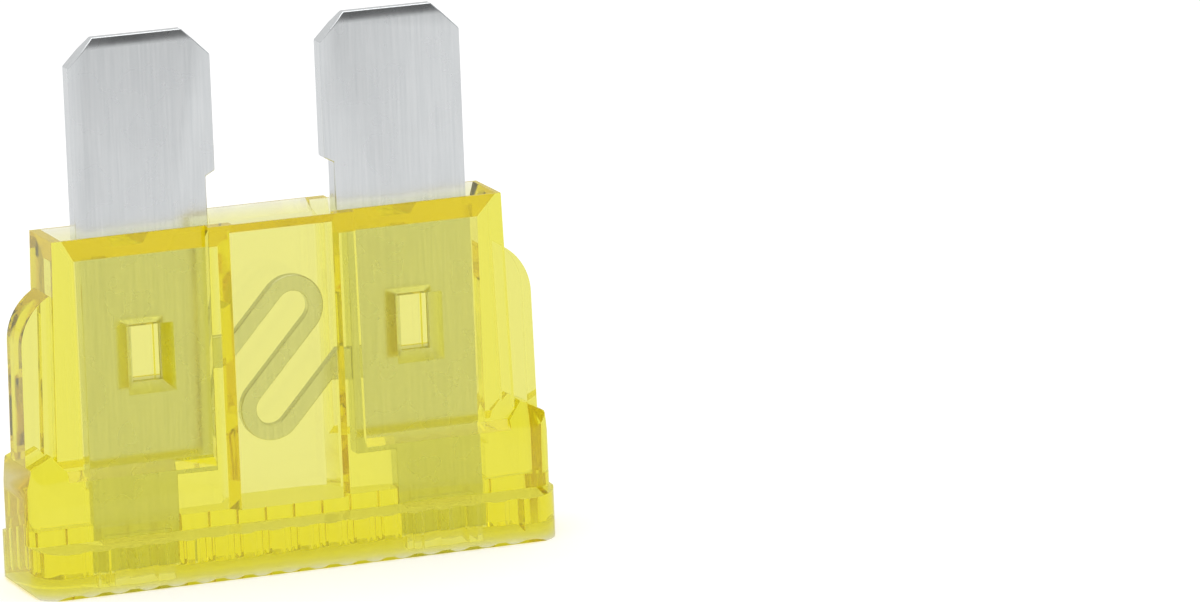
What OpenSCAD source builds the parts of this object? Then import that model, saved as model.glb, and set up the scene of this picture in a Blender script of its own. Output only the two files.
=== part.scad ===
// Automotive blade fuse of the regular size, standing on its head with the blades up.
// A transparent yellow housing holds a stamped fuse element: two blades, two tails and an S-shaped link.
// X runs along the width, the front faces -Y, and the head end lies on Z = 0.

/* [Overall] */
// Width of the head, the widest part of the fuse
head_width = 19.1; // [17:0.1:22]
// Thickness of the head
head_thickness = 5.1; // [4.4:0.1:6.5]
// Height of the housing from the head end to the blade end
housing_height = 12.15; // [11.5:0.05:14]
// Length of the blades outside the housing
blade_reach = 6.75; // [5.5:0.05:8.5]

/* [Head] */
// Height of the head's upright walls at its two ends
head_end_height = 3.3; // [2.6:0.1:3.6]
// Height of the head's upright walls on the front and the back
head_face_height = 3.9; // [3.7:0.1:4.4]
// Height at which the sloping shoulder meets the upper body
shoulder_top = 4.55; // [4.4:0.05:5]
// How far the shoulder comes in over the head's two ends
shoulder_run = 0.6; // [0.3:0.05:0.9]
// How far below the shoulder's top its slope turns flatter at the head's two ends
shoulder_knee = 0.3; // [0.1:0.05:0.6]
// Radius of the head's upright corners
head_corner = 1.2; // [0.5:0.1:1.8]
// Bevel around the edge of the head end
head_edge = 0.15; // [0.05:0.05:0.3]

/* [Grip flutes] */
// Number of upright flutes on each face of the head
flute_count = 16; // [8:1:18]
// Distance from one flute to the next
flute_pitch = 1.05; // [0.9:0.01:1.1]
// Radius of the round cutter that makes a flute
flute_radius = 0.6; // [0.4:0.05:0.8]
// Depth of a flute
flute_depth = 0.1; // [0.05:0.01:0.2]
// Height of the flutes above the head end
flute_height = 1.7; // [1.2:0.1:2.2]

/* [Upper body] */
// Width of the upper body at the blade end
body_width = 16.2; // [15.8:0.1:17]
// Thickness of the upper body at the blade end
body_thickness = 2.7; // [2.5:0.05:3.4]
// How much the upper body grows on each side from the blade end to the head
body_draft = 0.22; // [0:0.01:0.3]

/* [Side fins] */
// Thickness of the fin along each narrow side
fin_thickness = 1.65; // [1.2:0.05:2.2]
// How far the head stands out past a fin at the fin's foot
fin_inset = 0.2; // [0.1:0.05:0.4]
// How far the fin's outer edge leans in from its foot to its shoulder
fin_draft = 0.08; // [0:0.01:0.15]
// Radius of the fin's rounded shoulder
fin_radius = 2.0; // [1.2:0.1:2.5]
// Distance from the blade end down to where the rounded shoulder starts
fin_drop = 3.7; // [3.2:0.1:4.5]

/* [Blades] */
// Width of one blade
blade_width = 5.1; // [4.6:0.05:5.4]
// Thickness of the blades
blade_thickness = 0.65; // [0.5:0.01:0.8]
// Free space between the two blades
blade_gap = 4.1; // [3.6:0.1:4.4]
// Bevel across each corner of a blade's tip
tip_corner = 0.95; // [0.5:0.05:1.3]
// Height of the coined taper at a blade's tip
tip_taper_height = 0.4; // [0.2:0.05:0.8]
// Thickness of a blade's tip edge
tip_thickness = 0.33; // [0.2:0.01:0.45]
// How far the blade steps in on its inner side just above the housing
notch_depth = 0.3; // [0.1:0.02:0.4]
// Height of that step above the housing
notch_rise = 1.7; // [1:0.1:2.5]
// Slope of that step, as its height
notch_slope = 0.18; // [0.05:0.01:0.4]

/* [Tails] */
// Width of the narrow tail under each blade
tail_width = 3.1; // [2.6:0.1:3.4]
// Height at which a blade steps in to its tail
tail_top = 3.5; // [3.2:0.05:3.9]
// Height of the tail's end above the head end
tail_end = 0.5; // [0.3:0.05:0.8]

/* [Link] */
// Width of the S-shaped link's strip
link_width = 0.68; // [0.4:0.02:0.8]
// Thickness of the link, which is thinner than the blades
link_thickness = 0.45; // [0.3:0.01:0.5]
// Distance between the middle lines of neighbouring legs
link_pitch = 1.7; // [1.5:0.02:1.8]
// Straight length of the middle leg
link_leg = 2.93; // [2.4:0.01:3.2]
// Height of the link's middle above the head end
link_height = 7.2; // [6.8:0.05:7.6]
// Height of the short strip that joins a leg to its blade
stub_height = 1.1; // [0.8:0.05:1.4]
// How far that strip sits above or below the link's middle
stub_shift = 0.42; // [0.2:0.02:0.6]

/* [Stakes] */
// Width of the rectangular window in each blade
window_width = 1.85; // [1.4:0.05:2.2]
// Height of the window
window_height = 2.55; // [2:0.05:3]
// Height of the window's middle above the head end
window_z = 7.9; // [7.4:0.05:8.2]
// How far the window lies outside the middle of the blade
window_shift = 0.35; // [0:0.05:0.5]
// Width of the dimple pressed into each face of the housing
dimple_width = 1.15; // [0.8:0.05:1.3]
// Height of the dimple
dimple_height = 2.05; // [1.6:0.05:2.2]
// Depth of the dimple
dimple_depth = 0.6; // [0.3:0.05:0.7]

/* [Hollow] */
// Gap between the element's flat faces and the slot that holds it
face_clearance = 0.05; // [0.03:0.01:0.1]
// Gap between the element's outer edges and the ends of the slot
edge_clearance = 0.25; // [0.1:0.05:0.4]
// Gap around the plug of plastic in each window
plug_clearance = 0.05; // [0.03:0.01:0.1]
// Height of the floor under the link
chamber_floor = 1.65; // [1.4:0.05:2]
// Half the width of the chamber around the link
chamber_half = 1.95; // [1.8:0.05:2.05]
// Thickness of the wall in front of the link and behind it
chamber_wall = 0.42; // [0.3:0.01:0.6]
// Width of the slanted step between the chamber and the blade slots
chamber_step = 0.3; // [0.15:0.05:0.4]
// Thickness of the rim around the mouth over each blade
mouth_rim = 0.18; // [0.1:0.01:0.3]
// Depth of the slanted mouth over each blade
mouth_depth = 0.85; // [0.5:0.05:1.2]
// Width of the slanted part at each end of that mouth
mouth_run = 0.55; // [0.3:0.05:0.6]
// Height of the ledge at each outer end of the slot
ledge_height = 3.3; // [2.8:0.05:3.4]
// How far that ledge comes in
ledge_run = 0.12; // [0.05:0.01:0.2]

/* [Head end] */
// Width of the probe opening under each tail
probe_width = 2.0; // [1.5:0.1:2.4]
// Thickness of the probe opening
probe_thickness = 1.6; // [1.2:0.1:2]
// Width of the bare recessed panel between the probe openings
panel_width = 6.4; // [5:0.1:6.8]
// Depth of the panel measured across the head
panel_span = 3.0; // [2:0.1:3.4]
// How far the panel is sunk
panel_depth = 0.3; // [0.1:0.05:0.4]

/* [Hidden] */
$fn = 64;
overlap = 0.01;
cut_past = 1;
tip_z = housing_height + blade_reach;
blade_inner = blade_gap / 2;
blade_outer = blade_inner + blade_width;
blade_middle = (blade_inner + blade_outer) / 2;
root_inner = blade_inner + notch_depth;
notch_z = housing_height + notch_rise;
tail_inner = blade_outer - tail_width;
tail_middle = blade_outer - tail_width / 2;
window_x = blade_middle + window_shift;
slot_half = blade_thickness / 2 + face_clearance;
slot_end = blade_outer + edge_clearance;
tail_slot_end = slot_end - ledge_run;
chamber_depth = body_thickness / 2 - chamber_wall;
chamber_shoulder = chamber_half + chamber_step;
fin_foot = head_width / 2 - fin_inset;
fin_edge = fin_foot - fin_draft;
fin_root = (slot_end + body_width / 2) / 2;
fin_centre_z = housing_height - fin_drop;
draft_height = housing_height - head_end_height;
body_foot_x = body_width / 2 + body_draft;
body_foot_y = body_thickness / 2 + body_draft;
tail_seat = tail_end - face_clearance;
mouth_outer = slot_end + mouth_run;
mouth_inner = chamber_shoulder - mouth_run;
plug_width = window_width - 2 * plug_clearance;
plug_height = window_height - 2 * plug_clearance;
far = 2 * head_width;

// A front outline in X and Z, made into a plate of this depth centred on Y = 0.
module front_plate(depth) {
    translate([0, depth / 2, 0])
        rotate([90, 0, 0])
        linear_extrude(height = depth)
        children();
}

// A side outline in Y and Z, made into a bar of this width centred on X = 0.
module side_bar(width) {
    translate([-width / 2, 0, 0])
        rotate([90, 0, 90])
        linear_extrude(height = width)
        children();
}

// A rectangle with true round corners.
module rounded_plan(width, depth, radius) {
    square([width - 2 * radius, depth], center = true);
    square([width, depth - 2 * radius], center = true);
    for (sx = [-1, 1], sy = [-1, 1])
        translate([sx * (width / 2 - radius), sy * (depth / 2 - radius)])
            circle(r = radius);
}

// The head, with upright walls, round corners and a sloping shoulder.
module head_solid() {
    end_x = head_width / 2;
    face_y = head_thickness / 2;
    knee_z = shoulder_top - shoulder_knee;
    intersection() {
        linear_extrude(height = shoulder_top)
            rounded_plan(head_width, head_thickness, head_corner);
        front_plate(head_thickness)
            polygon([
                [-end_x + head_edge, 0], [end_x - head_edge, 0],
                [end_x, head_edge], [end_x, head_end_height],
                [fin_foot, knee_z],
                [end_x - shoulder_run, shoulder_top], [shoulder_run - end_x, shoulder_top],
                [-fin_foot, knee_z],
                [-end_x, head_end_height], [-end_x, head_edge]
            ]);
        side_bar(head_width)
            polygon([
                [-face_y + head_edge, 0], [face_y - head_edge, 0],
                [face_y, head_edge], [face_y, head_face_height],
                [body_foot_y, shoulder_top], [-body_foot_y, shoulder_top],
                [-face_y, head_face_height], [-face_y, head_edge]
            ]);
    }
}

// The row of shallow upright flutes on both faces of the head.
module grip_flutes() {
    cutter_y = head_thickness / 2 + flute_radius - flute_depth;
    for (i = [0 : flute_count - 1], side = [-1, 1])
        translate([(i - (flute_count - 1) / 2) * flute_pitch, side * cutter_y, 0]) {
            translate([0, 0, -cut_past])
                cylinder(r = flute_radius, h = cut_past + flute_height - flute_radius / 2);
            translate([0, 0, flute_height - flute_radius / 2])
                sphere(r = flute_radius);
        }
}

// The upper body, slightly wider and thicker towards the head.
module body_solid() {
    intersection() {
        front_plate(head_thickness)
            polygon([
                [-body_foot_x, head_end_height], [body_foot_x, head_end_height],
                [body_width / 2, housing_height], [-body_width / 2, housing_height]
            ]);
        side_bar(head_width)
            polygon([
                [-body_foot_y, head_end_height], [body_foot_y, head_end_height],
                [body_thickness / 2, housing_height], [-body_thickness / 2, housing_height]
            ]);
    }
}

// The pair of thin fins along the narrow sides, each with a rounded shoulder.
module fins() {
    for (side = [0, 1])
        mirror([side, 0, 0])
            front_plate(fin_thickness) {
                polygon([
                    [fin_root, head_end_height / 2], [fin_foot, head_end_height / 2],
                    [fin_foot, head_end_height], [fin_edge, fin_centre_z],
                    [fin_root, fin_centre_z]
                ]);
                intersection() {
                    translate([fin_edge - fin_radius, fin_centre_z])
                        circle(r = fin_radius);
                    translate([fin_root, fin_centre_z - fin_radius / 2])
                        square([2 * fin_radius, 1.5 * fin_radius]);
                }
            }
}

// The hollow for the element: blade slots, the deeper chamber around the link, and tail slots.
module element_hollow() {
    wide_plan = [
        [-slot_end, -slot_half], [-chamber_shoulder, -slot_half],
        [-chamber_half, -chamber_depth], [chamber_half, -chamber_depth],
        [chamber_shoulder, -slot_half], [slot_end, -slot_half],
        [slot_end, slot_half], [chamber_shoulder, slot_half],
        [chamber_half, chamber_depth], [-chamber_half, chamber_depth],
        [-chamber_shoulder, slot_half], [-slot_end, slot_half]
    ];
    translate([0, 0, ledge_height])
        linear_extrude(height = far)
        polygon(wide_plan);
    translate([0, 0, chamber_floor])
        linear_extrude(height = far)
        intersection() {
            polygon(wide_plan);
            square([2 * tail_slot_end, head_thickness], center = true);
        }
    for (side = [-1, 1])
        translate([side * tail_middle, 0, tail_seat + far / 2])
            cube([tail_width + 2 * face_clearance, 2 * slot_half, far], center = true);
}

// The slanted mouth over one blade, on the right.
module mouth() {
    low_z = housing_height - mouth_depth;
    run_y = body_thickness / 2 - mouth_rim;
    middle_x = (mouth_inner + mouth_outer) / 2;
    intersection() {
        translate([middle_x, 0, 0])
            side_bar(mouth_outer - mouth_inner)
            polygon([
                [-slot_half, low_z], [slot_half, low_z],
                [run_y, housing_height], [run_y, housing_height + cut_past],
                [-run_y, housing_height + cut_past], [-run_y, housing_height]
            ]);
        front_plate(head_thickness)
            polygon([
                [chamber_shoulder, low_z], [slot_end, low_z],
                [mouth_outer, housing_height], [mouth_outer, housing_height + cut_past],
                [mouth_inner, housing_height + cut_past], [mouth_inner, housing_height]
            ]);
    }
}

// The plug of plastic that fills a blade's window, bridging the front and the back wall.
module stake_plug() {
    translate([window_x, 0, window_z])
        cube([plug_width, 2 * slot_half + 2 * overlap, plug_height], center = true);
}

// The dimples pressed into the front and the back over one window.
module stake_dimples() {
    share = (housing_height - window_z) / draft_height;
    face_y = body_thickness / 2 + body_draft * share;
    for (side = [-1, 1])
        translate([window_x, side * face_y, window_z])
            cube([dimple_width, 2 * dimple_depth, dimple_height], center = true);
}

// The two probe openings and the bare panel in the head end.
module end_face_recesses() {
    for (side = [-1, 1])
        translate([side * tail_middle, 0, 0])
            cube([probe_width, probe_thickness, 2 * chamber_floor], center = true);
    cube([panel_width, panel_span, 2 * panel_depth], center = true);
}

// One-piece moulded housing of transparent yellow plastic.
module housing() {
    color([0.94, 0.90, 0.20, 0.55])
    difference() {
        union() {
            head_solid();
            body_solid();
            fins();
        }
        grip_flutes();
        difference() {
            element_hollow();
            for (side = [0, 1])
                mirror([side, 0, 0])
                    stake_plug();
        }
        for (side = [0, 1])
            mirror([side, 0, 0]) {
                mouth();
                stake_dimples();
            }
        end_face_recesses();
    }
}

// Front outline of one blade with its tail, on the right.
module blade_outline() {
    difference() {
        polygon([
            [root_inner, tail_top], [tail_inner, tail_top], [tail_inner, tail_end],
            [blade_outer, tail_end], [blade_outer, tip_z - tip_corner],
            [blade_outer - tip_corner, tip_z], [blade_inner + tip_corner, tip_z],
            [blade_inner, tip_z - tip_corner], [blade_inner, notch_z],
            [root_inner, notch_z - notch_slope]
        ]);
        translate([window_x - window_width / 2, window_z - window_height / 2])
            square([window_width, window_height]);
    }
}

// One blade with its tail, thinned to a taper at the tip.
module blade() {
    half = blade_thickness / 2;
    half_tip = tip_thickness / 2;
    intersection() {
        front_plate(blade_thickness)
            blade_outline();
        side_bar(far)
            polygon([
                [-half, 0], [half, 0],
                [half, tip_z - tip_taper_height], [half_tip, tip_z],
                [-half_tip, tip_z], [-half, tip_z - tip_taper_height]
            ]);
    }
}

// Half of the S-shaped link, from its middle to the left blade.
module half_link_outline() {
    stub_foot = stub_shift - stub_height / 2;
    rotate(45) {
        translate([-overlap, -link_width / 2])
            square([link_leg / 2 + overlap, link_width]);
        intersection() {
            translate([link_leg / 2, link_pitch / 2])
                difference() {
                    circle(d = link_pitch + link_width);
                    circle(d = link_pitch - link_width);
                }
            translate([link_leg / 2, -link_pitch])
                square([2 * link_pitch, 3 * link_pitch]);
        }
    }
    intersection() {
        rotate(45)
            translate([link_leg / 2 - 2 * link_leg, link_pitch - link_width / 2])
            square([2 * link_leg, link_width]);
        translate([-root_inner - overlap, stub_foot])
            square([2 * root_inner, 2 * link_leg]);
    }
    difference() {
        translate([-root_inner - overlap, stub_foot])
            square([root_inner + overlap, stub_height]);
        rotate(45)
            translate([-far / 2, link_pitch - link_width / 2 - far])
            square([far, far]);
    }
}

// The S-shaped link between the blades.
module link() {
    front_plate(link_thickness)
        translate([0, link_height])
        for (turn = [0, 180])
            rotate(turn)
                half_link_outline();
}

// One-piece stamped fuse element of zinc alloy.
module fuse_element() {
    color([0.78, 0.80, 0.80])
    union() {
        blade();
        mirror([1, 0, 0])
            blade();
        link();
    }
}

housing();
fuse_element();
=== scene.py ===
"""Automotive blade fuse, standing on its head: a clear yellow moulding around a stamped zinc element.

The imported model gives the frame, the box and the nodes. Each visible piece is built here from its own
sizes in millimetres, takes the place of its node, gets the small edge radii that moulding and blanking
leave, and is dressed with a procedural finish.
"""

import logging
import math
from dataclasses import dataclass, field
from enum import Enum
from typing import Any, Protocol, Sequence

import bmesh
import bpy
from mathutils import Matrix, Vector


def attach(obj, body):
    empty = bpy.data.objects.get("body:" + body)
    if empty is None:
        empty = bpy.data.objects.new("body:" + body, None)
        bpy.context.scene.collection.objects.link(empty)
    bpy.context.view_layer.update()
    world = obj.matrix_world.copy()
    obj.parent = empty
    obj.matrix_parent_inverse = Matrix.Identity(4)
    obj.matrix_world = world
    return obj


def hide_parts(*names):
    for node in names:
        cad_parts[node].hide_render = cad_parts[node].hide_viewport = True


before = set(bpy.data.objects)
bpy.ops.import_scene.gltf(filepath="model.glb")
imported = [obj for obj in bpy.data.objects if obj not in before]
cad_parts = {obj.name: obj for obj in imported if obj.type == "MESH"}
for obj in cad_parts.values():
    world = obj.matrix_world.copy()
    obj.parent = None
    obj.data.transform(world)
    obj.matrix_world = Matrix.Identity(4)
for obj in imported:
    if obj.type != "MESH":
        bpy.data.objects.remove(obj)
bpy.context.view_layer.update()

# One millimetre in metres. Sizes below are in millimetres unless their name says otherwise.
MM = 0.001
# How far a cutter stands out past the face that it opens.
OVERCUT = 0.2
# Corners closer than this are one corner, and faces that turn by less than this angle are one face.
MERGE_DISTANCE = 5e-4
FLAT_DEG = 0.05
# Places of the two colours and of the result among the sockets of a Mix node set to colours.
COLOUR_A = 6
COLOUR_B = 7
COLOUR_RESULT = 2
BODY = "root"

log = logging.getLogger("blade_fuse")


class Slot(Enum):
    """Material slots of the record."""

    YELLOW_PLASTIC = "yellow_plastic"
    ZINC = "zinc"


def linear(code: str) -> tuple[float, float, float, float]:
    """Turns an sRGB hex colour into linear light by the standard curve.

    Args:
        code: Six hex digits, with or without a leading hash.

    Returns:
        Red, green, blue and an alpha of 1.
    """
    digits = code.lstrip("#")
    channels = [int(digits[i : i + 2], 16) / 255 for i in (0, 2, 4)]
    lit = [c / 12.92 if c <= 0.04045 else ((c + 0.055) / 1.055) ** 2.4 for c in channels]
    return (*lit, 1.0)


def add_node(
    tree: bpy.types.NodeTree,
    kind: str,
    settings: dict[str, Any] | None = None,
    inputs: dict[str | int, Any] | None = None,
) -> bpy.types.Node:
    """Adds a node with its settings and its input values or links.

    Args:
        tree: Tree that gets the node.
        kind: Blender's name of the node's type.
        settings: Properties of the node.
        inputs: Values, or output sockets to link, by input name or index.

    Returns:
        The new node.
    """
    node = tree.nodes.new(kind)
    for name, value in (settings or {}).items():
        setattr(node, name, value)
    for key, value in (inputs or {}).items():
        if isinstance(value, bpy.types.NodeSocket):
            tree.links.new(value, node.inputs[key])
        else:
            node.inputs[key].default_value = value
    return node


def new_material(name: str) -> tuple[bpy.types.Material, bpy.types.NodeTree]:
    """Makes an empty node material.

    Args:
        name: Name of the material.

    Returns:
        The material and its cleared node tree.
    """
    material = bpy.data.materials.new(name)
    material.use_nodes = True
    material.node_tree.nodes.clear()
    return material, material.node_tree


@dataclass(frozen=True)
class ClearPolycarbonate:
    """Injection-moulded transparent polycarbonate with a yellow dye.

    The polished mould leaves a glossy skin with faint flow waves. The dye takes out blue first and then
    green, so that thin walls look lemon yellow and long ways through the plastic look orange. The camera
    sees a little pale haze on the skin, and the plastic throws a light yellow shadow.
    """

    name: str = "clear_yellow_polycarbonate"
    ior: float = 1.585
    roughness: float = 0.03
    passed: tuple[float, float, float, float] = (0.984, 0.964, 0.055, 1.0)
    density_per_mm: float = 0.9
    wave_mm: float = 2.2
    wave_depth_mm: float = 0.003
    wave_strength: float = 0.5
    shadow_tint: str = "#F4EA7A"
    haze: str = "#F0E455"
    haze_share: float = 0.12

    def build(self) -> bpy.types.Material:
        """Builds the material.

        Returns:
            The material with its nodes.
        """
        material, tree = new_material(self.name)
        coords = add_node(tree, "ShaderNodeTexCoord")
        waves = add_node(
            tree,
            "ShaderNodeTexNoise",
            inputs={"Vector": coords.outputs["Object"], "Scale": 1 / (self.wave_mm * MM), "Detail": 0.0},
        )
        skin = add_node(
            tree,
            "ShaderNodeBump",
            inputs={
                "Height": waves.outputs["Fac"],
                "Distance": self.wave_depth_mm * MM,
                "Strength": self.wave_strength,
            },
        )
        glassy = add_node(
            tree,
            "ShaderNodeBsdfPrincipled",
            inputs={
                "Base Color": (1, 1, 1, 1),
                "Roughness": self.roughness,
                "IOR": self.ior,
                "Transmission Weight": 1.0,
                "Normal": skin.outputs["Normal"],
            },
        )
        let_through = add_node(
            tree, "ShaderNodeBsdfTransparent", inputs={"Color": linear(self.shadow_tint)}
        )
        path = add_node(tree, "ShaderNodeLightPath")
        haze_share = add_node(
            tree,
            "ShaderNodeMath",
            settings={"operation": "MULTIPLY"},
            inputs={0: path.outputs["Is Camera Ray"], 1: self.haze_share},
        )
        haze = add_node(tree, "ShaderNodeBsdfDiffuse", inputs={"Color": linear(self.haze)})
        hazy = add_node(
            tree,
            "ShaderNodeMixShader",
            inputs={0: haze_share.outputs[0], 1: glassy.outputs["BSDF"], 2: haze.outputs["BSDF"]},
        )
        surface = add_node(
            tree,
            "ShaderNodeMixShader",
            inputs={
                0: path.outputs["Is Shadow Ray"],
                1: hazy.outputs["Shader"],
                2: let_through.outputs["BSDF"],
            },
        )
        dye = add_node(
            tree,
            "ShaderNodeVolumeAbsorption",
            inputs={"Color": self.passed, "Density": self.density_per_mm / MM},
        )
        add_node(
            tree,
            "ShaderNodeOutputMaterial",
            inputs={"Surface": surface.outputs["Shader"], "Volume": dye.outputs["Volume"]},
        )
        return material


@dataclass(frozen=True)
class RolledZinc:
    """Zinc alloy strip, rolled and then blanked.

    Rolling leaves a fine grain along the blades: light and dark streaks a tenth of a millimetre wide
    with a satin shine that is a little duller in broad clouds. Inside the moulding the strip gets a
    painted shade: its colour is multiplied a shade darker there, for the light that reaches it only
    through the plastic.
    """

    name: str = "rolled_zinc_strip"
    light: str = "#FAFCFD"
    dark: str = "#E2E6E8"
    roughness: float = 0.26
    roughness_spread: float = 0.04
    grain_mm: float = 0.10
    grain_length_mm: float = 2.4
    grain_depth_mm: float = 0.0004
    grain_strength: float = 0.6
    cloud_mm: float = 1.6
    cloud_from: float = 0.3
    cloud_to: float = 0.7
    noise_detail: float = 3.0
    # Painted shade: the grey that darkens the zinc inside the moulding, where light reaches it only through
    # the plastic.
    inside_painted_shade: str = "#EDEDED"
    mouth_mm: float = 12.2
    mouth_blend_mm: float = 0.2

    def build(self) -> bpy.types.Material:
        """Builds the material.

        Returns:
            The material with its nodes.
        """
        material, tree = new_material(self.name)
        coords = add_node(tree, "ShaderNodeTexCoord")
        stretched = add_node(
            tree,
            "ShaderNodeMapping",
            inputs={
                "Vector": coords.outputs["Object"],
                "Scale": (
                    1 / (self.grain_mm * MM),
                    1 / (self.grain_mm * MM),
                    1 / (self.grain_length_mm * MM),
                ),
            },
        )
        grain = add_node(
            tree,
            "ShaderNodeTexNoise",
            inputs={"Vector": stretched.outputs["Vector"], "Scale": 1.0, "Detail": self.noise_detail},
        )
        clouds = add_node(
            tree,
            "ShaderNodeTexNoise",
            inputs={
                "Vector": coords.outputs["Object"],
                "Scale": 1 / (self.cloud_mm * MM),
                "Detail": self.noise_detail,
            },
        )
        tone = add_node(
            tree,
            "ShaderNodeMix",
            settings={"data_type": "RGBA"},
            inputs={
                "Factor": grain.outputs["Fac"],
                COLOUR_A: linear(self.dark),
                COLOUR_B: linear(self.light),
            },
        )
        # Painted shade: a mask that is 1 below the mouth of the moulding, and a grey that multiplies the
        # zinc's colour there, for the dimmer light inside the plastic.
        place = add_node(tree, "ShaderNodeSeparateXYZ", inputs={"Vector": coords.outputs["Object"]})
        inside = add_node(
            tree,
            "ShaderNodeMapRange",
            inputs={
                "Value": place.outputs["Z"],
                "From Min": (self.mouth_mm + self.mouth_blend_mm) * MM,
                "From Max": (self.mouth_mm - self.mouth_blend_mm) * MM,
            },
        )
        shaded_inside = add_node(
            tree,
            "ShaderNodeMix",
            settings={"data_type": "RGBA", "blend_type": "MULTIPLY"},
            inputs={
                "Factor": inside.outputs["Result"],
                COLOUR_A: tone.outputs[COLOUR_RESULT],
                COLOUR_B: linear(self.inside_painted_shade),
            },
        )
        dull = add_node(
            tree,
            "ShaderNodeMapRange",
            inputs={
                "Value": clouds.outputs["Fac"],
                "From Min": self.cloud_from,
                "From Max": self.cloud_to,
                "To Min": self.roughness - self.roughness_spread,
                "To Max": self.roughness + self.roughness_spread,
            },
        )
        ridges = add_node(
            tree,
            "ShaderNodeBump",
            inputs={
                "Height": grain.outputs["Fac"],
                "Distance": self.grain_depth_mm * MM,
                "Strength": self.grain_strength,
            },
        )
        metal = add_node(
            tree,
            "ShaderNodeBsdfPrincipled",
            inputs={
                "Base Color": shaded_inside.outputs[COLOUR_RESULT],
                "Metallic": 1.0,
                "Roughness": dull.outputs["Result"],
                "Normal": ridges.outputs["Normal"],
            },
        )
        add_node(tree, "ShaderNodeOutputMaterial", inputs={"Surface": metal.outputs["BSDF"]})
        return material


@dataclass(frozen=True)
class PaleTable:
    """Matt white painted board under and behind the fuse.

    The camera sees it lifted to white where nothing shades it. Light bent by the clear moulding meets
    mostly an even white, also right under the fuse.
    """

    name: str = "pale_table"
    paint: str = "#F2F2F2"
    lift: float = 0.34
    bent_white: float = 0.95
    bent_share: float = 0.75

    def build(self) -> bpy.types.Material:
        """Builds the material.

        Returns:
            The material with its nodes.
        """
        material, tree = new_material(self.name)
        paint = add_node(tree, "ShaderNodeBsdfDiffuse", inputs={"Color": linear(self.paint)})
        path = add_node(tree, "ShaderNodeLightPath")
        seen = add_node(
            tree,
            "ShaderNodeMath",
            settings={"operation": "MULTIPLY"},
            inputs={0: path.outputs["Is Camera Ray"], 1: self.lift},
        )
        glow = add_node(tree, "ShaderNodeEmission", inputs={"Strength": seen.outputs[0]})
        lifted = add_node(
            tree, "ShaderNodeAddShader", inputs={0: paint.outputs["BSDF"], 1: glow.outputs["Emission"]}
        )
        bent = add_node(
            tree,
            "ShaderNodeMath",
            settings={"operation": "MULTIPLY"},
            inputs={0: path.outputs["Is Transmission Ray"], 1: self.bent_share},
        )
        white = add_node(tree, "ShaderNodeEmission", inputs={"Strength": self.bent_white})
        board = add_node(
            tree,
            "ShaderNodeMixShader",
            inputs={0: bent.outputs[0], 1: lifted.outputs["Shader"], 2: white.outputs["Emission"]},
        )
        add_node(tree, "ShaderNodeOutputMaterial", inputs={"Surface": board.outputs["Shader"]})
        return material


class Plane(Enum):
    """Plane in which the outline of a straight-walled block is drawn.

    The values are the axes of the outline's two coordinates and the axis that the block runs along.
    """

    FRONT = (0, 2, 1)
    SIDE = (1, 2, 0)
    PLAN = (0, 1, 2)


class Cut(Enum):
    """Ways to combine two solids."""

    ADD = "UNION"
    TAKE = "DIFFERENCE"
    KEEP = "INTERSECT"


Outline = Sequence[tuple[float, float]]


def link_mesh(name: str, mesh: bpy.types.Mesh) -> bpy.types.Object:
    """Puts a mesh into the scene as an object at the origin.

    Args:
        name: Name of the object.
        mesh: Its mesh.

    Returns:
        The object.
    """
    made = bpy.data.objects.new(name, mesh)
    bpy.context.scene.collection.objects.link(made)
    return made


def block(name: str, plane: Plane, outline: Outline, low: float, high: float) -> bpy.types.Object:
    """Makes a straight-walled closed block from an outline.

    Args:
        name: Name of the block.
        plane: Plane of the outline.
        outline: Corners in that plane, in millimetres, in order.
        low: Where the block starts along the third axis, in millimetres.
        high: Where it ends.

    Returns:
        The block as an object at the origin, in metres.
    """
    first, second, along = plane.value
    shell = bmesh.new()
    rings = []
    for level in (low, high):
        ring = []
        for a, b in outline:
            place = [0.0, 0.0, 0.0]
            place[first], place[second], place[along] = a * MM, b * MM, level * MM
            ring.append(shell.verts.new(place))
        rings.append(ring)
    bottom, top = rings
    count = len(outline)
    shell.faces.new(bottom)
    shell.faces.new(top)
    for i in range(count):
        j = (i + 1) % count
        shell.faces.new((bottom[i], bottom[j], top[j], top[i]))
    bmesh.ops.recalc_face_normals(shell, faces=shell.faces)
    mesh = bpy.data.meshes.new(name)
    shell.to_mesh(mesh)
    shell.free()
    return link_mesh(name, mesh)


def box(name: str, low: Sequence[float], high: Sequence[float]) -> bpy.types.Object:
    """Makes a rectangular block from two opposite corners in millimetres."""
    outline = [(low[0], low[1]), (high[0], low[1]), (high[0], high[1]), (low[0], high[1])]
    return block(name, Plane.PLAN, outline, low[2], high[2])


def applied(piece: bpy.types.Object) -> bpy.types.Object:
    """Turns a piece and its modifiers into one plain mesh.

    Args:
        piece: Object whose modifiers are used up.

    Returns:
        The same object with its new mesh.
    """
    evaluated = piece.evaluated_get(bpy.context.evaluated_depsgraph_get())
    finished = bpy.data.meshes.new_from_object(evaluated)
    piece.modifiers.clear()
    piece.data = finished
    finished.name = piece.name
    return piece


def combine(base: bpy.types.Object, way: Cut, *tools: bpy.types.Object) -> bpy.types.Object:
    """Combines a solid with others, which are used up.

    Args:
        base: Solid that is changed.
        way: How each other solid acts on it.
        tools: The other solids, in order.

    Returns:
        The changed solid.
    """
    for tool in tools:
        step = base.modifiers.new(tool.name, "BOOLEAN")
        step.solver = "MANIFOLD"
        step.operation = way.value
        step.object = tool
    applied(base)
    for tool in tools:
        used = tool.data
        bpy.data.objects.remove(tool)
        bpy.data.meshes.remove(used)
    return base


def mirrored(outline: Outline) -> list[tuple[float, float]]:
    """Mirrors an outline about the line where its first coordinate is 0."""
    return [(-a, b) for a, b in outline]


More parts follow.
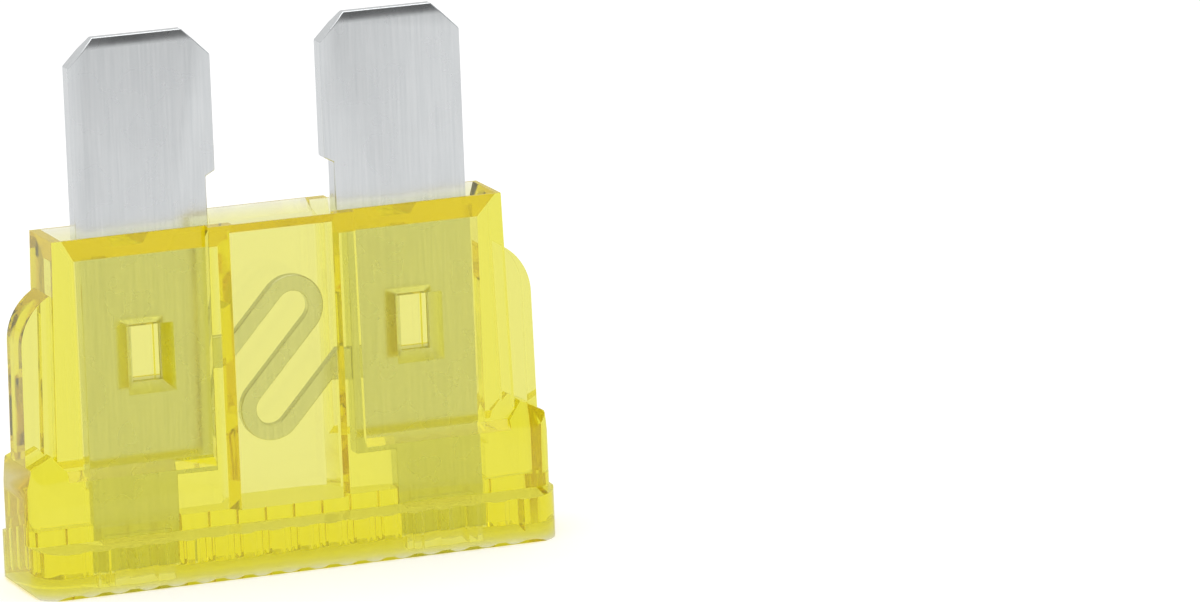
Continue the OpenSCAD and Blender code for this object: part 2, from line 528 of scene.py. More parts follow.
def shifted(outline: Outline, first: float, second: float = 0.0) -> list[tuple[float, float]]:
    """Moves an outline within its plane."""
    return [(a + first, b + second) for a, b in outline]


def both_sides(outline: Outline) -> list[tuple[float, float]]:
    """Closes the half outline on the positive side with its mirror image."""
    return [*outline, *reversed(mirrored(outline))]


def arc(
    centre: tuple[float, float], radius: float, start_deg: float, end_deg: float, steps: int
) -> list[tuple[float, float]]:
    """Lists the points of a circular arc.

    Args:
        centre: Centre of the arc.
        radius: Its radius.
        start_deg: Angle of its first point.
        end_deg: Angle of its last point.
        steps: Number of straight pieces.

    Returns:
        The points in order, with both ends.
    """
    points = []
    for i in range(steps + 1):
        angle = math.radians(start_deg + (end_deg - start_deg) * i / steps)
        points.append((centre[0] + radius * math.cos(angle), centre[1] + radius * math.sin(angle)))
    return points


def rounded_plan(width: float, depth: float, radius: float, steps: int = 12) -> Outline:
    """Outlines a rectangle with round corners, centred on the origin.

    Args:
        width: Size along X.
        depth: Size along Y.
        radius: Radius of the corners.
        steps: Number of straight pieces in each corner.

    Returns:
        The outline in plan.
    """
    x, y = width / 2 - radius, depth / 2 - radius
    corners = ((x, y, 0.0), (-x, y, 90.0), (-x, -y, 180.0), (x, -y, 270.0))
    return [p for cx, cy, turn in corners for p in arc((cx, cy), radius, turn, turn + 90.0, steps)]


@dataclass
class FuseElement:
    """One-piece stamping: two blades, two tails and the S-shaped link."""

    blade_width: float = 5.1
    thickness: float = 0.65
    gap: float = 3.97
    tip_z: float = 18.9
    tip_corner: float = 0.95
    tip_taper: float = 0.4
    tip_thickness: float = 0.33
    notch_depth: float = 0.34
    notch_z: float = 13.9
    notch_slope: float = 0.18
    waist_depth: float = 0.2
    waist_z: float = 11.7
    tail_width: float = 3.1
    tail_top: float = 3.5
    tail_end: float = 0.5
    window_width: float = 1.12
    window_height: float = 2.02
    window_z: float = 7.9
    window_shift: float = 0.35
    link_width: float = 0.56
    link_thickness: float = 0.35
    link_pitch: float = 1.69
    link_leg: float = 3.17
    link_angle_deg: float = 47.5
    link_z: float = 7.11
    link_shift: float = 0.1
    stub_height: float = 1.1
    left_stub_z: float = 7.61
    right_stub_z: float = 6.67
    link_overlap: float = 0.1
    arc_steps: int = 40
    shift: float = 0.1
    tool_reach: float = 1.0

    def __post_init__(self) -> None:
        """Works out the places that follow from the sizes."""
        self.inner = self.gap / 2
        self.outer = self.inner + self.blade_width
        self.root_inner = self.inner + self.notch_depth
        self.waist_inner = self.root_inner + self.waist_depth
        self.tail_inner = self.outer - self.tail_width
        self.tail_middle = self.outer - self.tail_width / 2
        self.window_x = (self.inner + self.outer) / 2 + self.window_shift

    def blade(self, side: int) -> bpy.types.Object:
        """Makes one blade with its tail and its window.

        Args:
            side: 1 for the right blade, -1 for the left one.

        Returns:
            The blade as a solid.
        """
        half = self.thickness / 2
        tip_half = self.tip_thickness / 2
        right = [
            (self.waist_inner, self.tail_top),
            (self.tail_inner, self.tail_top),
            (self.tail_inner, self.tail_end),
            (self.outer, self.tail_end),
            (self.outer, self.tip_z - self.tip_corner),
            (self.outer - self.tip_corner, self.tip_z),
            (self.inner + self.tip_corner, self.tip_z),
            (self.inner, self.tip_z - self.tip_corner),
            (self.inner, self.notch_z),
            (self.root_inner, self.notch_z - self.notch_slope),
            (self.root_inner, self.waist_z),
            (self.waist_inner, self.waist_z - self.notch_slope),
        ]
        front = right if side > 0 else mirrored(right)
        plate = block("blade", Plane.FRONT, shifted(front, self.shift), -half, half)
        taper = [
            (half + OVERCUT, -OVERCUT),
            (half + OVERCUT, self.tip_z - self.tip_taper),
            (half, self.tip_z - self.tip_taper),
            (tip_half, self.tip_z),
            (tip_half, self.tip_z + OVERCUT),
        ]
        reach = self.outer + self.tool_reach
        combine(plate, Cut.KEEP, block("taper", Plane.SIDE, both_sides(taper), -reach, reach))
        x = side * self.window_x + self.shift
        window = box(
            "window",
            (x - self.window_width / 2, -self.tool_reach, self.window_z - self.window_height / 2),
            (x + self.window_width / 2, self.tool_reach, self.window_z + self.window_height / 2),
        )
        return combine(plate, Cut.TAKE, window)

    def link_half(self, stub_z: float) -> list[tuple[float, float]]:
        """Outlines half of the S, seen so that its strip points left.

        Args:
            stub_z: Height of the strip's middle above the middle of the S.

        Returns:
            Corners from the strip's upper corner to the end of the lower loop.
        """
        turn = self.link_angle_deg
        along = (math.cos(math.radians(turn)), math.sin(math.radians(turn)))
        pitch, width = self.link_pitch, self.link_width
        foot, top = stub_z - self.stub_height / 2, stub_z + self.stub_height / 2
        reach = self.waist_inner + self.link_shift + self.link_overlap

        def on_leg(offset: float, height: float) -> tuple[float, float]:
            """Finds the point of a leg's edge at a height."""
            run = (height - offset * along[0]) / along[1]
            return (run * along[0] - offset * along[1], height)

        loop = (
            self.link_leg / 2 * along[0] - pitch / 2 * along[1],
            self.link_leg / 2 * along[1] + pitch / 2 * along[0],
        )
        inside = arc(loop, (pitch - width) / 2, turn + 90, turn - 90, self.arc_steps)
        outside = arc((-loop[0], -loop[1]), (pitch + width) / 2, turn + 90, turn + 270, self.arc_steps)
        return [
            on_leg(pitch + width / 2, top),
            (-reach, top),
            (-reach, foot),
            on_leg(pitch - width / 2, foot),
            *inside,
            *outside,
        ]

    def link(self) -> bpy.types.Object:
        """Makes the thin S-shaped link with the short strips that join it to the blades.

        Returns:
            The link as a solid.
        """
        left = self.link_half(self.left_stub_z - self.link_z)
        right = self.link_half(self.link_z - self.right_stub_z)
        outline = left + [(-x, -z) for x, z in right]
        half = self.link_thickness / 2
        placed = shifted(outline, self.shift + self.link_shift, self.link_z)
        return block("link", Plane.FRONT, placed, -half, half)

    def build(self, name: str) -> bpy.types.Object:
        """Builds the stamping as one solid.

        Args:
            name: Name of the stamping.

        Returns:
            The stamping.
        """
        stamping = combine(self.blade(1), Cut.ADD, self.blade(-1), self.link())
        stamping.name = name
        return stamping


@dataclass
class GripFlutes:
    """Row of upright round cutters on both faces of the grip band, made by Geometry Nodes."""

    count: int = 16
    pitch: float = 1.03
    radius: float = 0.6
    depth: float = 0.12
    low: float = -1.0
    high: float = 2.2
    facets: int = 48

    def node_tree(self) -> bpy.types.NodeTree:
        """Builds the tree that sets one cutter on every point of two rows.

        Returns:
            The tree. Its inputs are Count, Pitch, Radius, Length, the Middle height of the cutters,
            the distance Face of each row from the middle plane, and the cutters' Material.
        """
        tree = bpy.data.node_groups.new("grip_flute_rows", "GeometryNodeTree")
        face = tree.interface
        face.new_socket("Geometry", in_out="INPUT", socket_type="NodeSocketGeometry")
        face.new_socket("Count", in_out="INPUT", socket_type="NodeSocketInt")
        for name in ("Pitch", "Radius", "Length", "Middle", "Face"):
            face.new_socket(name, in_out="INPUT", socket_type="NodeSocketFloat")
        face.new_socket("Material", in_out="INPUT", socket_type="NodeSocketMaterial")
        face.new_socket("Geometry", in_out="OUTPUT", socket_type="NodeSocketGeometry")
        given = add_node(tree, "NodeGroupInput")
        steps = add_node(
            tree,
            "ShaderNodeMath",
            settings={"operation": "SUBTRACT"},
            inputs={0: given.outputs["Count"], 1: 1.0},
        )
        run = add_node(
            tree,
            "ShaderNodeMath",
            settings={"operation": "MULTIPLY"},
            inputs={0: steps.outputs[0], 1: given.outputs["Pitch"]},
        )
        first = add_node(
            tree,
            "ShaderNodeMath",
            settings={"operation": "MULTIPLY"},
            inputs={0: run.outputs[0], 1: -0.5},
        )
        cutter = add_node(
            tree,
            "GeometryNodeMeshCylinder",
            inputs={
                "Vertices": self.facets,
                "Radius": given.outputs["Radius"],
                "Depth": given.outputs["Length"],
            },
        )
        rows = add_node(tree, "GeometryNodeJoinGeometry")
        for sign in (-1.0, 1.0):
            depth = add_node(
                tree,
                "ShaderNodeMath",
                settings={"operation": "MULTIPLY"},
                inputs={0: given.outputs["Face"], 1: sign},
            )
            start = add_node(
                tree,
                "ShaderNodeCombineXYZ",
                inputs={"X": first.outputs[0], "Y": depth.outputs[0], "Z": given.outputs["Middle"]},
            )
            step = add_node(tree, "ShaderNodeCombineXYZ", inputs={"X": given.outputs["Pitch"]})
            row = add_node(
                tree,
                "GeometryNodeMeshLine",
                settings={"mode": "OFFSET"},
                inputs={
                    "Count": given.outputs["Count"],
                    "Start Location": start.outputs["Vector"],
                    "Offset": step.outputs["Vector"],
                },
            )
            tree.links.new(row.outputs["Mesh"], rows.inputs["Geometry"])
        placed = add_node(
            tree,
            "GeometryNodeInstanceOnPoints",
            inputs={"Points": rows.outputs["Geometry"], "Instance": cutter.outputs["Mesh"]},
        )
        real = add_node(
            tree, "GeometryNodeRealizeInstances", inputs={"Geometry": placed.outputs["Instances"]}
        )
        dressed = add_node(
            tree,
            "GeometryNodeSetMaterial",
            inputs={"Geometry": real.outputs["Geometry"], "Material": given.outputs["Material"]},
        )
        add_node(tree, "NodeGroupOutput", inputs={"Geometry": dressed.outputs["Geometry"]})
        return tree

    def build(self, face_y: float) -> bpy.types.Object:
        """Makes the cutters for both faces as one plain mesh.

        Args:
            face_y: Distance of the faces from the middle plane, in millimetres.

        Returns:
            The cutters.
        """
        cutters = link_mesh("flute_cutters", bpy.data.meshes.new("flute_cutters"))
        rows = cutters.modifiers.new("flute_rows", "NODES")
        rows.node_group = self.node_tree()
        values = {
            "Count": self.count,
            "Pitch": self.pitch * MM,
            "Radius": self.radius * MM,
            "Length": (self.high - self.low) * MM,
            "Middle": (self.high + self.low) / 2 * MM,
            "Face": (face_y + self.radius - self.depth) * MM,
        }
        for item in rows.node_group.interface.items_tree:
            if item.in_out == "INPUT" and item.name in values:
                rows[item.identifier] = values[item.name]
        return applied(cutters)


@dataclass
class Housing:
    """One-piece clear moulding with the slots, the chamber and the stakes inside it.

    Lengths of taper are drafts and runs: how much further out, or in, a face lies at its other end.
    """

    element: FuseElement = field(default_factory=FuseElement)
    flutes: GripFlutes = field(default_factory=GripFlutes)
    head_width: float = 19.1
    head_thickness: float = 5.1
    height: float = 12.2
    head_end_z: float = 3.3
    head_half: float = 1.65
    head_face_z: float = 3.89
    ledge_z: float = 4.21
    shoulder_z: float = 4.8
    shoulder_run: float = 1.0
    shoulder_knee: float = 0.4
    shoulder_slope: float = 0.5
    head_corner: float = 0.62
    head_edge: float = 0.15
    band_corner: float = 1.2
    band_z: float = 1.6
    band_slope: float = 0.16
    body_width: float = 16.3
    body_thickness: float = 2.44
    body_draft: float = 0.22
    field_draft: float = 0.05
    middle_half: float = 2.65
    middle_draft: float = 0.08
    middle_thickness: float = 3.2
    fin_thickness: float = 1.65
    fin_inset: float = 0.2
    fin_draft: float = 0.08
    fin_radius: float = 2.0
    fin_drop: float = 3.7
    fin_steps: int = 20
    face_clearance: float = 0.05
    edge_clearance: float = 0.25
    plug_clearance: float = 0.05
    plug_lap: float = 0.01
    chamber_floor: float = 2.1
    chamber_half: float = 1.86
    chamber_wall: float = 0.7
    chamber_step: float = 0.34
    mouth_rim: float = 0.1
    mouth_depth: float = 0.85
    mouth_run: float = 0.55
    centre_rim: float = 0.08
    centre_bevel: float = 0.36
    ledge_in_z: float = 3.3
    ledge_in_run: float = 0.12
    dimple_width: float = 1.7
    dimple_height: float = 2.6
    dimple_run: float = 0.32
    dimple_top_run: float = 0.12
    dimple_depth: float = 0.5
    probe_width: float = 2.4
    probe_thickness: float = 0.9
    probe_height: float = 1.7

    def __post_init__(self) -> None:
        """Works out the places that follow from the sizes."""
        part = self.element
        self.end_x = self.head_width / 2
        self.face_y = self.head_thickness / 2
        self.foot_x = self.body_width / 2 + self.body_draft
        self.foot_y = self.body_thickness / 2 + self.field_draft
        self.fin_foot = self.end_x - self.fin_inset
        self.slot_half = part.thickness / 2 + self.face_clearance
        self.slot_end = part.outer + self.edge_clearance
        self.chamber_y = self.middle_thickness / 2 - self.chamber_wall
        self.shoulder_x = self.chamber_half + self.chamber_step

    def head(self) -> bpy.types.Object:
        """Makes the head up to its ledge.

        Returns:
            The head as a solid, without its grip band.
        """
        plan = rounded_plan(self.head_width, 2 * self.head_half, self.head_corner)
        solid = block("head", Plane.PLAN, plan, 0.0, self.ledge_z)
        ledge_end = self.end_x - (self.ledge_z - self.head_end_z) / 2
        front = [
            (self.end_x - self.head_edge, 0.0),
            (self.end_x, self.head_edge),
            (self.end_x, self.head_end_z),
            (ledge_end, self.ledge_z),
        ]
        side = [(self.head_half, 0.0), (self.head_half, self.head_face_z), (self.foot_y, self.ledge_z)]
        return self.trimmed(solid, both_sides(front), side)

    def grip_band(self) -> bpy.types.Object:
        """Makes the thicker grip band around the foot of the head.

        Returns:
            The band as a solid, without its flutes.
        """
        top = self.band_z + self.band_slope
        plan = rounded_plan(self.head_width, self.head_thickness, self.band_corner)
        solid = block("grip_band", Plane.PLAN, plan, 0.0, top)
        front = [(self.end_x - self.head_edge, 0.0), (self.end_x, self.head_edge), (self.end_x, top)]
        side = [
            (self.face_y - self.head_edge, 0.0),
            (self.face_y, self.head_edge),
            (self.face_y, self.band_z),
            (self.head_half, top),
        ]
        return self.trimmed(solid, both_sides(front), side)

    def trimmed(self, solid: bpy.types.Object, front: Outline, side: Outline) -> bpy.types.Object:
        """Keeps what lies inside a front outline and a side outline.

        Args:
            solid: Solid that is trimmed.
            front: Outline in X and Z.
            side: Back half of the outline in Y and Z.

        Returns:
            The trimmed solid.
        """
        return combine(
            solid,
            Cut.KEEP,
            block("front_trim", Plane.FRONT, front, -self.end_x, self.end_x),
            block("side_trim", Plane.SIDE, both_sides(side), -2 * self.end_x, 2 * self.end_x),
        )

    def end_shoulder(self, sign: int) -> bpy.types.Object:
        """Makes the domed shoulder over one end of the head.

        Args:
            sign: 1 for the right end, -1 for the left one.

        Returns:
            The shoulder as a solid.
        """
        low = self.head_end_z / 2
        crest = self.end_x - self.shoulder_run
        plan = rounded_plan(self.head_width, 2 * self.head_half, self.head_corner)
        solid = block("shoulder", Plane.PLAN, plan, low, self.shoulder_z)
        right = [
            (crest - self.shoulder_slope, low),
            (self.end_x, low),
            (self.end_x, self.head_end_z),
            (self.fin_foot, self.shoulder_z - self.shoulder_knee),
            (crest, self.shoulder_z),
            (crest - self.shoulder_slope, self.ledge_z),
        ]
        side = [(self.head_half, low), (self.head_half, self.head_face_z), (self.foot_y, self.shoulder_z)]
        return self.trimmed(solid, right if sign > 0 else mirrored(right), side)

    def body(self) -> bpy.types.Object:
        """Makes the upper body, a little wider and thicker towards the head.

        Returns:
            The body as a solid, with its thicker middle.
        """
        front = both_sides([(self.foot_x, self.head_end_z), (self.body_width / 2, self.height)])
        side = both_sides([(self.foot_y, self.head_end_z), (self.body_thickness / 2, self.height)])
        return combine(self.crossed("body", front, side), Cut.ADD, self.middle())

    def middle(self) -> bpy.types.Object:
        """Makes the thicker middle of the body, flush with the head, around the chamber.

        Returns:
            The middle as a solid.
        """
        wide = self.middle_half + self.middle_draft
        front = both_sides([(wide, self.head_end_z), (self.middle_half, self.height)])
        side = both_sides(
            [
                (self.head_half, self.head_end_z),
                (self.head_half, self.head_face_z),
                (self.middle_thickness / 2, self.height),
            ]
        )
        return self.crossed("middle", front, side)

    def crossed(self, name: str, front: Outline, side: Outline) -> bpy.types.Object:
        """Makes the solid that a front outline and a side outline have in common.

        Args:
            name: Name of the solid.
            front: Outline in X and Z.
            side: Outline in Y and Z.

        Returns:
            The solid, no larger than the head in plan.
        """
        solid = block(name, Plane.FRONT, front, -self.face_y, self.face_y)
        return combine(solid, Cut.KEEP, block(name + "_side", Plane.SIDE, side, -self.end_x, self.end_x))

    def fin(self, sign: int) -> bpy.types.Object:
        """Makes the thin fin along one narrow side, with its round shoulder.

        Args:
            sign: 1 for the right fin, -1 for the left one.

        Returns:
            The fin as a solid.
        """
        edge = self.fin_foot - self.fin_draft
        root = (self.slot_end + abs(self.element.shift) + self.body_width / 2) / 2
        centre = (edge - self.fin_radius, self.height - self.fin_drop)
        last = math.degrees(math.acos((root - centre[0]) / self.fin_radius))
        right = [
            (root, self.head_end_z / 2),
            (self.fin_foot, self.head_end_z / 2),
            (self.fin_foot, self.head_end_z),
            *arc(centre, self.fin_radius, 0.0, last, self.fin_steps),
        ]
        front = right if sign > 0 else mirrored(right)
        return block("fin", Plane.FRONT, front, -self.fin_thickness / 2, self.fin_thickness / 2)

    def slots(self) -> bpy.types.Object:
        """Makes the hollow for the element, with the plugs that stake it left standing.

        Returns:
            The hollow as a solid to take away.
        """
        part = self.element
        top = self.height + OVERCUT
        half_plan = [
            (self.slot_end, self.slot_half),
            (self.shoulder_x, self.slot_half),
            (self.chamber_half, self.chamber_y),
        ]
        low_end = self.slot_end - self.ledge_in_run
        low_half = [(low_end, self.slot_half), *half_plan[1:]]
        plans = []
        for quarter in (half_plan, low_half):
            upper = [*quarter, *reversed(mirrored(quarter))]
            whole = [*upper, *[(-x, -y) for x, y in upper]]
            plans.append(shifted(whole, part.shift))
        hollow = block("slots", Plane.PLAN, plans[0], self.ledge_in_z, top)
        lower = block("low_slots", Plane.PLAN, plans[1], self.chamber_floor, top)
        tails = []
        plugs = []
        for sign in (-1, 1):
            x = sign * part.tail_middle + part.shift
            wide = part.tail_width / 2 + self.face_clearance
            tails.append(
                box(
                    "tail_slot",
                    (x - wide, -self.slot_half, part.tail_end - self.face_clearance),
                    (x + wide, self.slot_half, top),
                )
            )
            x = sign * part.window_x + part.shift
            wide = part.window_width / 2 - self.plug_clearance
            tall = part.window_height / 2 - self.plug_clearance
            plugs.append(
                box(
                    "plug",
                    (x - wide, -self.slot_half - self.plug_lap, part.window_z - tall),
                    (x + wide, self.slot_half + self.plug_lap, part.window_z + tall),
                )
            )
        combine(hollow, Cut.ADD, lower, *tails)
        return combine(hollow, Cut.TAKE, *plugs)

    def mouth(self, sign: int) -> bpy.types.Object:
        """Makes the slanted mouth over one blade.

        Args:
            sign: 1 for the right blade, -1 for the left one.

        Returns:
            The mouth as a solid to take away.
        """
        low, top = self.height - self.mouth_depth, self.height + OVERCUT
        run_y = self.body_thickness / 2 - self.mouth_rim
        outer, inner = self.slot_end + self.mouth_run, self.shoulder_x - self.mouth_run
        right = [
            (self.shoulder_x, low),
            (self.slot_end, low),
            (outer, self.height),
            (outer, top),
            (inner, top),
            (inner, self.height),
        ]
        front = shifted(right if sign > 0 else mirrored(right), self.element.shift)
        side = both_sides([(self.slot_half, low), (run_y, self.height), (run_y, top)])
        return self.crossed("mouth", front, side)

    def centre_mouth(self) -> bpy.types.Object:
        """Makes the bevelled mouth over the chamber.

        Returns:
            The mouth as a solid to take away.
        """
        run_y = self.middle_thickness / 2 - self.centre_rim
        side = both_sides(
            [
                (self.chamber_y, self.height - self.centre_bevel),
                (run_y, self.height),
                (run_y, self.height + OVERCUT),
            ]
        )
        shift = self.element.shift
        return block("centre_mouth", Plane.SIDE, side, shift - self.chamber_half, shift + self.chamber_half)

    def dimples(self) -> list[bpy.types.Object]:
        """Makes the four dimples pressed in over the windows, from the front and from the back.

        Returns:
            The dimples as solids to take away.
        """
        part = self.element
        share = (self.height - part.window_z) / (self.height - self.head_end_z)
        skin_y = self.body_thickness / 2 + self.field_draft * share
        floor_y = skin_y - self.dimple_depth
        made = []
        for sign in (-1, 1):
            x = sign * part.window_x + part.shift
            for face in (-1, 1):
                run = self.dimple_run
                across = shifted(self.funnel(self.dimple_width / 2, run, run, floor_y, skin_y), x)
                upright = self.funnel(self.dimple_height / 2, run, self.dimple_top_run, floor_y, skin_y)
                dimple = block(
                    "dimple",
                    Plane.PLAN,
                    [(a, face * b) for a, b in across],
                    part.window_z - self.dimple_height,
                    part.window_z + self.dimple_height,
                )
                cut = block(
                    "dimple_upright",
                    Plane.SIDE,
                    [(face * b, part.window_z + a) for a, b in upright],
                    x - self.dimple_width,
                    x + self.dimple_width,
                )
                made.append(combine(dimple, Cut.KEEP, cut))
        return made

    def funnel(
        self, half: float, low_run: float, high_run: float, floor_y: float, skin_y: float
    ) -> Outline:
        """Outlines a dimple that narrows from the skin to its floor.

        Args:
            half: Half of its width at the skin where both sides slope by the plain run.
            low_run: How far its lower side runs in between skin and floor.
            high_run: How far its upper side runs in.
            floor_y: Depth of its floor from the middle plane.
            skin_y: Depth of the skin there.

        Returns:
            The outline, with its depth as the second coordinate.
        """
        narrow = half - self.dimple_run
        reach = 1 + (self.face_y - skin_y) / self.dimple_depth
        low, high = narrow + low_run * reach, narrow + high_run * reach
        return [(narrow, floor_y), (high, self.face_y), (-low, self.face_y), (-narrow, floor_y)]

    def probe_openings(self) -> list[bpy.types.Object]:
        """Makes the two openings in the head end where a test probe reaches the tails.

        Returns:
            The openings as solids to take away.
        """
        part = self.element
        wide, deep = self.probe_width / 2, self.probe_thickness / 2
        made = []
        for sign in (-1, 1):
            x = sign * part.tail_middle + part.shift
            made.append(box("probe", (x - wide, -deep, -OVERCUT), (x + wide, deep, self.probe_height)))
        return made

    def build(self, name: str) -> bpy.types.Object:
        """Builds the moulding as one solid.

        Args:
            name: Name of the moulding.

        Returns:
            The moulding.
        """
        moulding = combine(
            self.body(),
            Cut.ADD,
            self.head(),
            self.grip_band(),
            self.end_shoulder(-1),
            self.end_shoulder(1),
            self.fin(-1),
            self.fin(1),
        )
        combine(
            moulding,
            Cut.TAKE,
            self.flutes.build(self.face_y),
            self.slots(),
            self.centre_mouth(),
            self.mouth(-1),
            self.mouth(1),
            *self.dimples(),
            *self.probe_openings(),
        )
        moulding.name = name
        return moulding


def tidy_faces(piece: bpy.types.Object) -> None:
    """Merges a piece's doubled corners and joins its faces that lie in one plane.

    Args:
        piece: Object whose mesh is changed.
    """
    shell = bmesh.new()
    shell.from_mesh(piece.data)
    bmesh.ops.remove_doubles(shell, verts=shell.verts, dist=MERGE_DISTANCE * MM)
    bmesh.ops.dissolve_limit(
        shell, angle_limit=math.radians(FLAT_DEG), verts=shell.verts, edges=shell.edges
    )
    shell.to_mesh(piece.data)
    shell.free()


def soften_edges(piece: bpy.types.Object, radius_mm: float, segments: int, least_deg: float) -> None:
    """Rounds a piece's edges by a small radius and leaves its flat faces shaded flat.

    Args:
        piece: Object whose mesh is changed.
        radius_mm: Width of the rounding.
        segments: Steps across the rounding.
        least_deg: Edges that turn by less than this stay as they are.
    """
    piece.data.shade_smooth()
    piece.data.set_sharp_from_angle(angle=math.radians(least_deg))
    bevel = piece.modifiers.new("edge_radius", "BEVEL")
    bevel.width = radius_mm * MM
    bevel.segments = segments
    bevel.limit_method = "ANGLE"
    bevel.angle_limit = math.radians(least_deg)
    bevel.use_clamp_overlap = True
    bevel.harden_normals = True
    applied(piece)


class Finish(Protocol):
    """Anything that builds one material."""

    def build(self) -> bpy.types.Material:
        """Builds the material."""


class Part(Protocol):
    """Anything that builds one solid."""

    def build(self, name: str) -> bpy.types.Object:
        """Builds the solid under a name."""


@dataclass
class Piece:
    """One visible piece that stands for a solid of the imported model."""

    name: str
    part: Part
    node: str
    slot: Slot
    finish: Finish
    edge_radius_mm: float
    edge_segments: int = 2
    least_edge_deg: float = 30.0

    def make(self) -> bpy.types.Object:
        """Makes the piece, dresses it and hands it to the frame.

        Returns:
            The finished object.
        """
        piece = self.part.build(self.name)
        tidy_faces(piece)
        soften_edges(piece, self.edge_radius_mm, self.edge_segments, self.least_edge_deg)
        piece.data.materials.clear()
        piece.data.materials.append(self.finish.build())
        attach(piece, BODY)
        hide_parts(self.node)
        log.info("%s: %d faces", self.name, len(piece.data.polygons))
        return piece


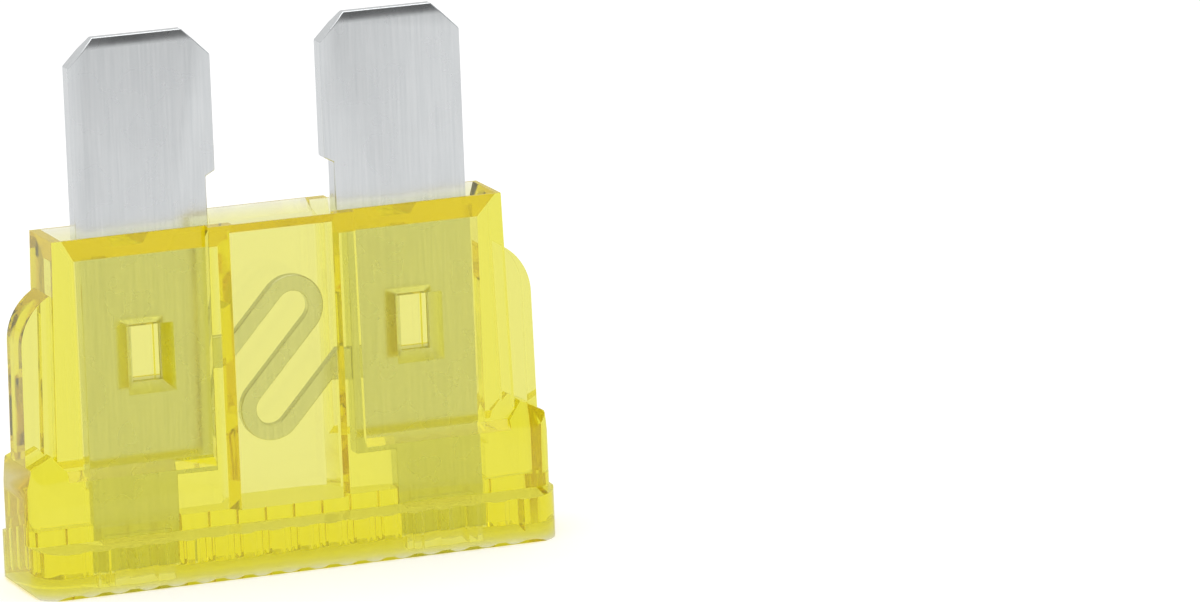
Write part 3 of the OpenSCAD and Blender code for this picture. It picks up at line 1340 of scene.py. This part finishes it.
@dataclass
class Studio:
    """Pale floor, plain soft light and the camera.

    The camera's turn is in radians, and its place is given from a point on the fuse's upright axis.
    """

    floor_half_m: float = 1.5
    world_bright: str = "#FFFFFF"
    world_dim: str = "#646464"
    dim_towards: tuple[float, float, float] = (0.34, -0.80, 0.52)
    dim_from: float = 0.885
    dim_to: float = 0.95
    world_strength: float = 0.66
    bent_strength: float = 0.64
    lamp_height_m: float = 0.45
    lamp_size_m: float = 0.50
    lamp_power_w: float = 0.75
    yaw: float = -0.359795755
    pitch: float = 0.211538479
    roll: float = -0.0371006776
    distance_mm: float = 337.670235
    focal_px: float = 9812.06746
    frame_px: float = 1200.0
    sideways_mm: float = -11.350947
    upwards_mm: float = -0.0452713
    aim_height_mm: float = 9.0
    sensor_mm: float = 36.0
    clip_near_m: float = 0.01
    clip_far_m: float = 20.0

    def build(self) -> None:
        """Builds the whole set."""
        self.build_floor()
        self.build_world()
        self.build_lamp()
        self.build_camera()

    def build_floor(self) -> None:
        """Lays the floor in the plane that the fuse stands on."""
        h = self.floor_half_m
        mesh = bpy.data.meshes.new("floor")
        mesh.from_pydata([(-h, -h, 0), (h, -h, 0), (h, h, 0), (-h, h, 0)], [], [(0, 1, 2, 3)])
        mesh.materials.append(PaleTable().build())
        link_mesh("floor", mesh)

    def build_world(self) -> None:
        """Makes a white room that is dimmer high on the front side.

        Light that leaves the clear moulding meets it evenly bright, and the camera sees it plain white.
        """
        world = bpy.data.worlds.new("white_room")
        world.use_nodes = True
        tree = world.node_tree
        tree.nodes.clear()
        coords = add_node(tree, "ShaderNodeTexCoord")
        dim_axis = Vector(self.dim_towards).normalized()
        towards = add_node(
            tree,
            "ShaderNodeVectorMath",
            settings={"operation": "DOT_PRODUCT"},
            inputs={0: coords.outputs["Generated"], 1: tuple(dim_axis)},
        )
        share = add_node(
            tree,
            "ShaderNodeMapRange",
            settings={"interpolation_type": "SMOOTHSTEP"},
            inputs={"Value": towards.outputs["Value"], "From Min": self.dim_from, "From Max": self.dim_to},
        )
        tone = add_node(
            tree,
            "ShaderNodeMix",
            settings={"data_type": "RGBA"},
            inputs={
                "Factor": share.outputs["Result"],
                COLOUR_A: linear(self.world_bright),
                COLOUR_B: linear(self.world_dim),
            },
        )
        path = add_node(tree, "ShaderNodeLightPath")
        bent = add_node(
            tree,
            "ShaderNodeBackground",
            inputs={"Color": linear(self.world_bright), "Strength": self.bent_strength},
        )
        room = add_node(
            tree,
            "ShaderNodeBackground",
            inputs={"Color": tone.outputs[COLOUR_RESULT], "Strength": self.world_strength},
        )
        white = add_node(tree, "ShaderNodeBackground", inputs={"Color": (1, 1, 1, 1), "Strength": 1.0})
        lit = add_node(
            tree,
            "ShaderNodeMixShader",
            inputs={
                0: path.outputs["Is Transmission Ray"],
                1: room.outputs["Background"],
                2: bent.outputs["Background"],
            },
        )
        both = add_node(
            tree,
            "ShaderNodeMixShader",
            inputs={
                0: path.outputs["Is Camera Ray"],
                1: lit.outputs["Shader"],
                2: white.outputs["Background"],
            },
        )
        add_node(tree, "ShaderNodeOutputWorld", inputs={"Surface": both.outputs["Shader"]})
        bpy.context.scene.world = world

    def build_lamp(self) -> None:
        """Hangs one large soft lamp over the fuse."""
        data = bpy.data.lights.new("overhead_softbox", "AREA")
        data.shape = "SQUARE"
        data.size = self.lamp_size_m
        data.energy = self.lamp_power_w
        lamp = bpy.data.objects.new("overhead_softbox", data)
        lamp.location = (0, 0, self.lamp_height_m)
        bpy.context.scene.collection.objects.link(lamp)

    def build_camera(self) -> None:
        """Sets the camera where the fitted view has it."""
        back = Vector(
            (
                math.sin(self.yaw) * math.cos(self.pitch),
                -math.cos(self.yaw) * math.cos(self.pitch),
                math.sin(self.pitch),
            )
        )
        level = Vector((math.cos(self.yaw), math.sin(self.yaw), 0.0))
        upright = back.cross(level)
        right = math.cos(self.roll) * level + math.sin(self.roll) * upright
        up = math.cos(self.roll) * upright - math.sin(self.roll) * level
        place = (
            Vector((0, 0, self.aim_height_mm))
            - self.sideways_mm * right
            - self.upwards_mm * up
            + self.distance_mm * back
        )
        data = bpy.data.cameras.new("view")
        data.sensor_width = self.sensor_mm
        data.lens = self.focal_px / self.frame_px * self.sensor_mm
        data.clip_start = self.clip_near_m
        data.clip_end = self.clip_far_m
        camera = bpy.data.objects.new("view", data)
        turn = Matrix((right, up, back)).transposed().to_4x4()
        camera.matrix_world = Matrix.Translation(place * MM) @ turn
        bpy.context.scene.collection.objects.link(camera)
        bpy.context.scene.camera = camera


def set_render_look() -> None:
    """Sets the plain view transform and enough bounces for light inside the clear moulding."""
    inside_bounces = 24
    metal_bounces = 12
    glossy_filter = 0.3
    scene = bpy.context.scene
    scene.view_settings.view_transform = "Standard"
    scene.cycles.max_bounces = inside_bounces
    scene.cycles.transmission_bounces = inside_bounces
    scene.cycles.glossy_bounces = metal_bounces
    scene.cycles.transparent_max_bounces = inside_bounces
    scene.cycles.blur_glossy = glossy_filter


def main() -> None:
    """Builds the studio and the two pieces of the fuse."""
    logging.basicConfig(level=logging.INFO, format="%(message)s")
    Studio().build()
    element = FuseElement()
    housing = Housing(element)
    pieces = (
        Piece(
            name="fuse_element_stamping",
            part=element,
            node="fuse_element",
            slot=Slot.ZINC,
            finish=RolledZinc(),
            edge_radius_mm=0.04,
        ),
        Piece(
            name="housing_moulding",
            part=housing,
            node="housing",
            slot=Slot.YELLOW_PLASTIC,
            finish=ClearPolycarbonate(),
            edge_radius_mm=0.06,
        ),
    )
    for piece in pieces:
        piece.make()
    set_render_look()


if __name__ == "__main__":
    main()
